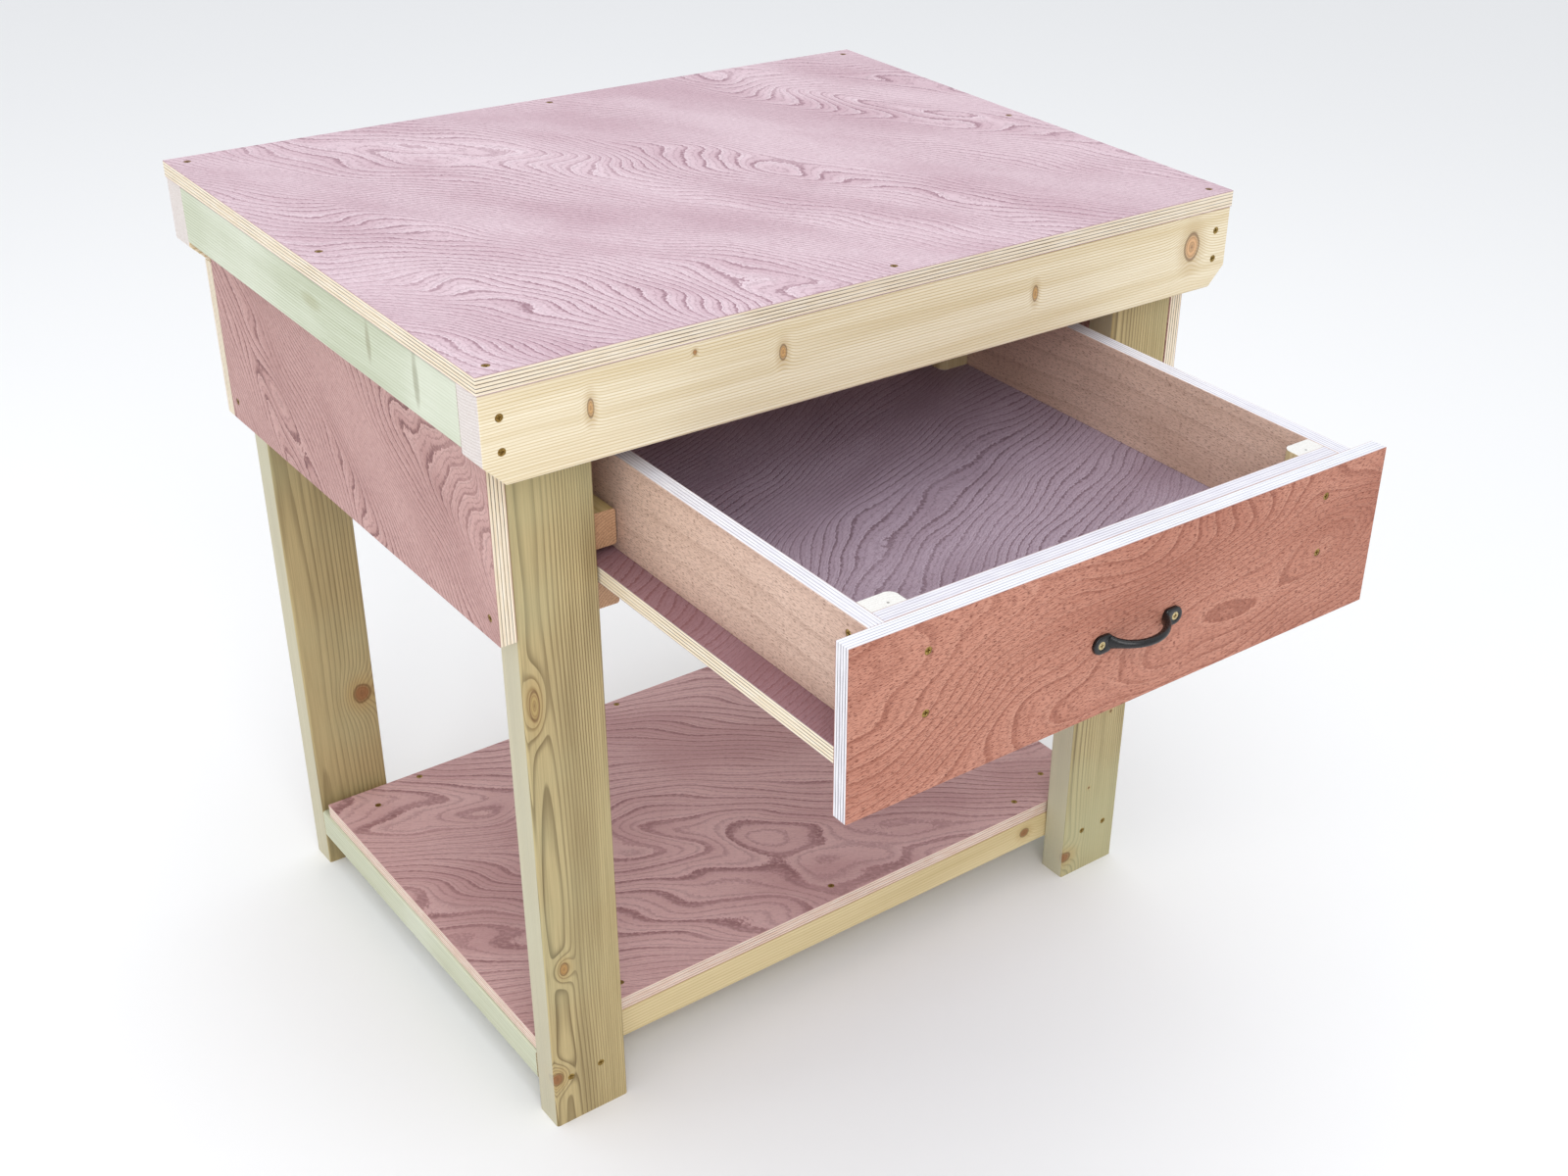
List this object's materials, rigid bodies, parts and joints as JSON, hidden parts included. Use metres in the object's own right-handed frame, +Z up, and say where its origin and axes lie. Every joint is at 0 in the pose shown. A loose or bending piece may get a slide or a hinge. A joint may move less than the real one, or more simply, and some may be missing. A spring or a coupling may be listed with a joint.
{
  "type": "potting bench",
  "caption": "Plywood-topped potting bench on a softwood frame, with a low shelf and one wide drawer that slides in timber runners under the worktop.",
  "frame": {"origin": "on the ground, at the middle of the outer box with the drawer part open", "axes": "+Z up out of the worktop, +Y from the drawer's pull to the back, +X to the right seen from the front"},
  "size_m": [0.914, 1.074, 0.91],
  "materials": {
    "worktop_plywood": "matt",
    "shelf_plywood": "matt",
    "panel_plywood": "matt",
    "drawer_front_plywood": "matt",
    "drawer_side_plywood": "matt",
    "drawer_bottom_plywood": "matt",
    "beam_pine": "planed, matt",
    "leg_pine": "planed, matt",
    "green_pine": "planed, matt",
    "shelf_rail_pine": "planed, matt",
    "rough_pine": "sawn, rough",
    "black_metal": "satin black",
    "brass_screw": "satin",
    "nail_steel": "dull",
    "yellow_zinc_screw": "yellow zinc plated"
  },
  "bodies": {
    "bench": {"worktop": "worktop_plywood", "front_beam": "beam_pine", "back_beam": "beam_pine", "side_rail_left": "green_pine", "side_rail_right": "green_pine", "leg_front_left": "leg_pine", "leg_front_right": "leg_pine", "leg_back_left": "leg_pine", "leg_back_right": "leg_pine", "side_panel_left": "panel_plywood", "side_panel_right": "panel_plywood", "back_panel": "panel_plywood", "upper_runner_left": "rough_pine", "upper_runner_right": "rough_pine", "lower_runner_left": "rough_pine", "lower_runner_right": "rough_pine", "shelf_board": "shelf_plywood", "shelf_front_rail": "shelf_rail_pine", "shelf_back_rail": "shelf_rail_pine", "shelf_side_rail_left": "shelf_rail_pine", "shelf_side_rail_right": "shelf_rail_pine", "worktop_screws": "yellow_zinc_screw", "beam_screws": "yellow_zinc_screw", "leg_top_screws": "yellow_zinc_screw", "leg_foot_screws": "yellow_zinc_screw", "shelf_board_screws": "yellow_zinc_screw", "side_panel_screws": "yellow_zinc_screw", "back_panel_screws": "yellow_zinc_screw", "runner_screws": "yellow_zinc_screw"},
    "drawer": {"drawer_front": "drawer_front_plywood", "drawer_inner_front": "drawer_front_plywood", "drawer_back": "drawer_side_plywood", "drawer_side_left": "drawer_side_plywood", "drawer_side_right": "drawer_side_plywood", "drawer_bottom": "drawer_bottom_plywood", "drawer_block_front_left": "rough_pine", "drawer_block_front_right": "rough_pine", "drawer_block_back_left": "rough_pine", "drawer_block_back_right": "rough_pine", "drawer_pull": "black_metal", "drawer_front_screws": "yellow_zinc_screw", "drawer_side_screws": "yellow_zinc_screw", "drawer_bottom_screws": "yellow_zinc_screw", "drawer_block_nails": "nail_steel", "pull_screws": "brass_screw"}
  },
  "joints": [
    {"name": "drawer_slide", "type": "slide", "parent": "bench", "child": "drawer", "axis": [0, -1, 0], "range_m": [-0.386, 0.06]}
  ]
}
